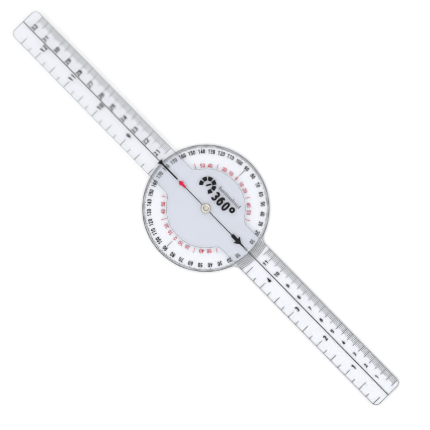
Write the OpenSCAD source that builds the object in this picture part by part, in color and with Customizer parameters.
// Two-arm clear plastic goniometer: a protractor disc with a stationary arm, and a moving
// arm that turns on top of it about a hollow metal eyelet. The origin is on the pivot axis
// in the disc's flat underside, +Z rises out of the printed faces and +X runs along the
// stationary arm. At rest the arms lie in one line and the dial reads 180 degrees.

/* [Sheets] */
// Thickness of each clear sheet
sheet_t = 1.2; // [0.8:0.1:2]
// Width of both arms
arm_w = 22; // [18:0.5:26]
// Distance from the pivot to each arm's end
arm_reach = 164.25; // [163:0.25:180]
// Corner radius at the arm ends
end_r = 3.6; // [1:0.1:4]
// Diameter of the protractor disc
disc_d = 80; // [78:1:84]
// Radius that blends the stationary arm into the disc
disc_blend_r = 5.5; // [2:0.5:8]
// Diameter of the moving arm's hub
hub_d = 50; // [44:1:51]
// Radius that blends the moving arm into its hub
hub_blend_r = 5; // [2:0.5:8]
// Radius of the curved end of the pointer tab
tab_r = 38.9; // [36:0.1:39.5]

/* [Pivot] */
// Bore of the hollow eyelet
eyelet_bore_d = 3; // [2:0.1:3.2]
// Outside diameter of the eyelet's barrel
barrel_d = 3.8; // [3.4:0.1:4.2]
// Diameter of the eyelet's curled front flange
flange_d = 6; // [5:0.1:7]
// Height of the front flange
flange_h = 0.55; // [0.3:0.05:0.7]
// Diameter of the eyelet's rolled back edge
roll_d = 5.2; // [4.6:0.1:5.4]
// Height of the rolled back edge
roll_h = 0.35; // [0.2:0.05:0.35]
// Diameter of the recess that the back edge is rolled into
recess_d = 5.5; // [5.5:0.1:6]
// Depth of the recess in the disc's underside
recess_depth = 0.4; // [0.4:0.05:0.5]
// Diameter of the spacer between the two sheets
spacer_d = 5.5; // [5:0.1:8]
// Thickness of the spacer
spacer_t = 0.25; // [0.2:0.05:0.5]
// Radial clearance of the moving arm on the barrel
running_gap = 0.06; // [0.02:0.01:0.1]
// Radial clearance of the pieces that stay put on the barrel
seat_gap = 0.03; // [0.01:0.01:0.1]
// End float of the moving arm, above and below
end_float = 0.02; // [0.01:0.01:0.05]

/* [Dial] */
// Thickness of the printed ink
ink_t = 0.03; // [0.02:0.01:0.05]
// Width of a millimetre or one degree tick
tick_w = 0.21; // [0.15:0.01:0.4]
// Width of the rulers' longer ticks
long_tick_w = 0.32; // [0.2:0.02:0.5]
// Width of the right angle lines and the red ticks
fine_line_w = 0.3; // [0.2:0.05:0.4]
// Radius where the one degree ticks begin
degree_tick_r = 38.3; // [37:0.1:38.5]
// Radius where the five degree ticks begin
five_tick_r = 37.8; // [36.5:0.1:38]
// Outer radius of the tick band on the stationary arm
band_r = 44.8; // [42:0.1:46]
// Inner and outer radius of the right angle lines
quadrant_line = [29.4, 34.2]; // [25:0.1:37]
// Inner and outer radius of the red ticks
red_tick = [25.5, 29]; // [23:0.1:30]

/* [Rulers] */
// Distance from the pivot to the zero mark on the stationary arm
stationary_zero = 161.3; // [160:0.1:161.5]
// Distance from the pivot to the point that the moving arm's rulers count from
moving_zero = 162.5; // [161:0.1:163]
// Length of a millimetre tick
mm_tick = 3.9; // [2:0.1:5]
// Length of a centimetre and half centimetre tick
cm_tick = 5.4; // [4:0.1:7]
// Length of a quarter inch tick
quarter_tick = 2.9; // [2:0.1:4]
// Length of an inch and half inch tick
inch_tick = 4.9; // [4:0.1:6]
// Length of the longest inch scale ticks
long_tick = 6.3; // [5:0.1:7]

/* [Pointers] */
// Width of the centre lines
line_w = 0.5; // [0.3:0.05:0.7]
// Width of the thick line that reads the dial
pointer_w = 0.95; // [0.6:0.05:1.2]
// Base width of the triangle at the dial's rim
triangle_w = 4.2; // [2:0.1:5]
// Inner and outer radius of the triangle
triangle_r = [38.3, 41.5]; // [36:0.1:43]
// Width of the red arrow's head
red_head_w = 4; // [2:0.1:5]
// Width of the red arrow's shaft
red_shaft_w = 1.5; // [0.8:0.1:2]
// Tail, head base and tip radius of the red arrow
red_arrow_r = [18.3, 21.4, 24.4]; // [12:0.1:30]
// Width of the black arrow's head
black_head_w = 6; // [3:0.1:6.5]
// Width of the black arrow's shaft
black_shaft_w = 2.2; // [1:0.1:2.4]
// Tail, barb and tip radius of the black arrow
black_arrow_r = [23.3, 27.5, 31.8]; // [18:0.1:34]
// Outer end of the line beyond the black arrow's tip
black_line_end = 34.2; // [32.5:0.1:35]

/* [Hidden] */
$fn = 96;
disc_r = disc_d / 2;
hub_r = hub_d / 2;
arm_half = arm_w / 2;
bore_r = eyelet_bore_d / 2;
barrel_r = barrel_d / 2;
seat_r = barrel_r + seat_gap;
ink_edge = 0.1;              // bare margin between any print and a sheet's edge
flange_clear = 0.35;         // bare margin between the print and the eyelet's flange
barb_sweep = 0.5;            // how far the black arrow's barbs sweep back
print_gap = 0.01;            // gap that keeps neighbouring prints apart
arrow_gap = 1;               // bare margin between the red arrow's tip and the line beyond it
tip_overlap = 1;             // how far a line runs into an arrow's or a triangle's tip
cut_over = 1;                // how far a cutting tool runs past the face that it opens

// Heights of the stacked pieces
disc_top = sheet_t;
arm_z = disc_top + spacer_t + end_float;
arm_top = arm_z + sheet_t;
flange_z = arm_top + end_float + ink_t;

// Scale layout, counted in millimetres and in quarter inches from each ruler's zero
quarter_inch = 6.35;
stationary_mm = [0, 115];
moving_mm = [205, 320];
stationary_quarters = [0, 18];
moving_quarters = [32, 50];
long_quarters = [0, 2, 18];
red_angles = [30, 60, 120, 150];

// Where a degree tick ends: at the disc's rim, or further out where the arm carries it on
function tick_end(angle) =
    max(disc_r - ink_edge, min(band_r, (arm_half - tick_w) / abs(sin(angle))));

// Only the arm's side of the disc carries long ticks
function tick_stop(angle) = abs(angle) < 90 ? tick_end(angle) : disc_r - ink_edge;

// A straight arm from the pivot to its rounded end, along +X
module arm_outline() {
    translate([0, -arm_half]) square([arm_reach - end_r, arm_w]);
    translate([0, end_r - arm_half]) square([arm_reach, arm_w - 2 * end_r]);
    for (side = [-1, 1])
        translate([arm_reach - end_r, side * (arm_half - end_r)]) circle(r = end_r);
}

// The two concave corners between a round of radius round_r and an arm along +X
module blend_outline(round_r, blend_r) {
    centre_y = arm_half + blend_r;
    centre_x = sqrt(pow(round_r + blend_r, 2) - pow(centre_y, 2));
    difference() {
        polygon([[0, 0], [centre_x, -centre_y], [centre_x, centre_y]]);
        for (side = [-1, 1])
            translate([centre_x, side * centre_y]) circle(r = blend_r);
    }
}

// The short tab opposite the moving arm, with an end that follows the dial
module tab_outline() {
    intersection() {
        translate([0, -arm_half]) square([disc_r, arm_w]);
        circle(r = tab_r);
    }
}

// A sheet with its pivot hole, cut from the outline given as its children
module sheet(z, hole_r) {
    translate([0, 0, z])
        difference() {
            linear_extrude(height = sheet_t) children();
            translate([0, 0, -cut_over]) cylinder(r = hole_r, h = sheet_t + 2 * cut_over);
        }
}

// Ink on a sheet's upper face at height z
module ink(z) {
    translate([0, 0, z]) linear_extrude(height = ink_t) children();
}

// A straight mark along +X, centred on the axis
module mark(from, to, width) {
    translate([from, -width / 2]) square([to - from, width]);
}

// Section of a curled lip from the bore to outer_r, crowned to the height given
module lip_section(outer_r, height) {
    half = (outer_r - bore_r) / 2;
    crown_r = (half * half + height * height) / (2 * height);
    intersection() {
        translate([bore_r + half, height - crown_r]) circle(r = crown_r);
        translate([bore_r, 0]) square([2 * half, height]);
    }
}

// A ruler tick square to the arm's edge, on the side of the arm that edge_side says
module ruler_tick(x, length, width, edge_side) {
    edge_y = arm_half - ink_edge;
    translate([x - width / 2, edge_side > 0 ? edge_y - length : -edge_y]) square([width, length]);
}

// A centimetre ruler along the +Y edge. Distances count from zero towards -X.
module cm_scale(zero, span) {
    for (mm = [span[0] : span[1]])
        if (mm % 5 == 0)
            ruler_tick(zero - mm, cm_tick, long_tick_w, 1);
        else
            ruler_tick(zero - mm, mm_tick, tick_w, 1);
}

// The same along the -Y edge, in quarter inches
module inch_scale(zero, span) {
    for (quarter = [span[0] : span[1]]) {
        length = len(search(quarter, long_quarters)) > 0 ? long_tick
            : quarter % 2 == 0 ? inch_tick : quarter_tick;
        ruler_tick(zero - quarter * quarter_inch, length, long_tick_w, -1);
    }
}

module stationary_arm() {
    color([0.90, 0.92, 0.96, 0.6])
        difference() {
            sheet(0, seat_r) {
                circle(r = disc_r);
                arm_outline();
                blend_outline(disc_r, disc_blend_r);
            }
            translate([0, 0, -cut_over]) cylinder(d = recess_d, h = recess_depth + cut_over);
        }
}

module moving_arm() {
    color([0.86, 0.88, 0.95, 0.6])
        sheet(arm_z, barrel_r + running_gap) {
            circle(r = hub_r);
            rotate(180) {
                arm_outline();
                blend_outline(hub_r, hub_blend_r);
            }
            tab_outline();
            blend_outline(hub_r, hub_blend_r);
        }
}

module pivot_eyelet() {
    color("palegoldenrod")
        rotate_extrude() {
            translate([0, flange_z]) lip_section(flange_d / 2, flange_h);
            translate([bore_r, recess_depth])
                square([barrel_r - bore_r, flange_z - recess_depth]);
            translate([0, recess_depth]) mirror([0, 1]) lip_section(roll_d / 2, roll_h);
        }
}

module spacer_washer() {
    color("white")
        translate([0, 0, disc_top])
            difference() {
                cylinder(d = spacer_d, h = spacer_t);
                translate([0, 0, -cut_over]) cylinder(r = seat_r, h = spacer_t + 2 * cut_over);
            }
}

module dial_degree_ticks() {
    color("black")
        ink(disc_top)
            for (angle = [-179 : 180])
                if (angle != 0)
                    rotate(angle)
                        mark(angle % 5 == 0 ? five_tick_r : degree_tick_r, tick_stop(angle), tick_w);
}

module dial_quadrant_lines() {
    color("black")
        ink(disc_top)
            for (angle = [-90, 90])
                rotate(angle) mark(quadrant_line[0], quadrant_line[1], fine_line_w);
}

module dial_red_ticks() {
    color("crimson")
        ink(disc_top)
            for (side = [-1, 1], angle = red_angles)
                rotate(side * angle) mark(red_tick[0], red_tick[1], fine_line_w);
}

module stationary_centre_line() {
    color("black") ink(disc_top) mark(five_tick_r, arm_reach - ink_edge, line_w);
}

module stationary_cm_ticks() {
    color("black") ink(disc_top) cm_scale(stationary_zero, stationary_mm);
}

module stationary_inch_ticks() {
    color("black") ink(disc_top) inch_scale(stationary_zero, stationary_quarters);
}

module moving_centre_line() {
    inner = flange_d / 2 + flange_clear;
    color("black")
        ink(arm_top) {
            rotate(180) mark(triangle_r[1] + print_gap, arm_reach - ink_edge, line_w);
            rotate(180) mark(inner, red_arrow_r[0] - print_gap, line_w);
            mark(inner, black_arrow_r[0] - print_gap, line_w);
        }
}

module moving_cm_ticks() {
    color("black") ink(arm_top) cm_scale(moving_zero, moving_mm);
}

module moving_inch_ticks() {
    color("black") ink(arm_top) inch_scale(moving_zero, moving_quarters);
}

module reading_pointer() {
    color("black")
        ink(arm_top)
            rotate(180) {
                polygon([
                    [triangle_r[0], 0],
                    [triangle_r[1], -triangle_w / 2],
                    [triangle_r[1], triangle_w / 2]
                ]);
                mark(red_arrow_r[2] + arrow_gap, triangle_r[0] + tip_overlap, pointer_w);
            }
}

module zero_arrow() {
    color("black")
        ink(arm_top) {
            mark(black_arrow_r[0], black_arrow_r[1] + barb_sweep, black_shaft_w);
            polygon([
                [black_arrow_r[2], 0],
                [black_arrow_r[1], black_head_w / 2],
                [black_arrow_r[1] + barb_sweep, 0],
                [black_arrow_r[1], -black_head_w / 2]
            ]);
            mark(black_arrow_r[2] - tip_overlap, black_line_end, pointer_w);
        }
}

module red_arrow() {
    color("crimson")
        ink(arm_top)
            rotate(180) {
                mark(red_arrow_r[0], red_arrow_r[1], red_shaft_w);
                polygon([
                    [red_arrow_r[2], 0],
                    [red_arrow_r[1], red_head_w / 2],
                    [red_arrow_r[1], -red_head_w / 2]
                ]);
            }
}

stationary_arm();
moving_arm();
pivot_eyelet();
spacer_washer();
dial_degree_ticks();
dial_quadrant_lines();
dial_red_ticks();
stationary_centre_line();
stationary_cm_ticks();
stationary_inch_ticks();
moving_centre_line();
moving_cm_ticks();
moving_inch_ticks();
reading_pointer();
zero_arrow();
red_arrow();
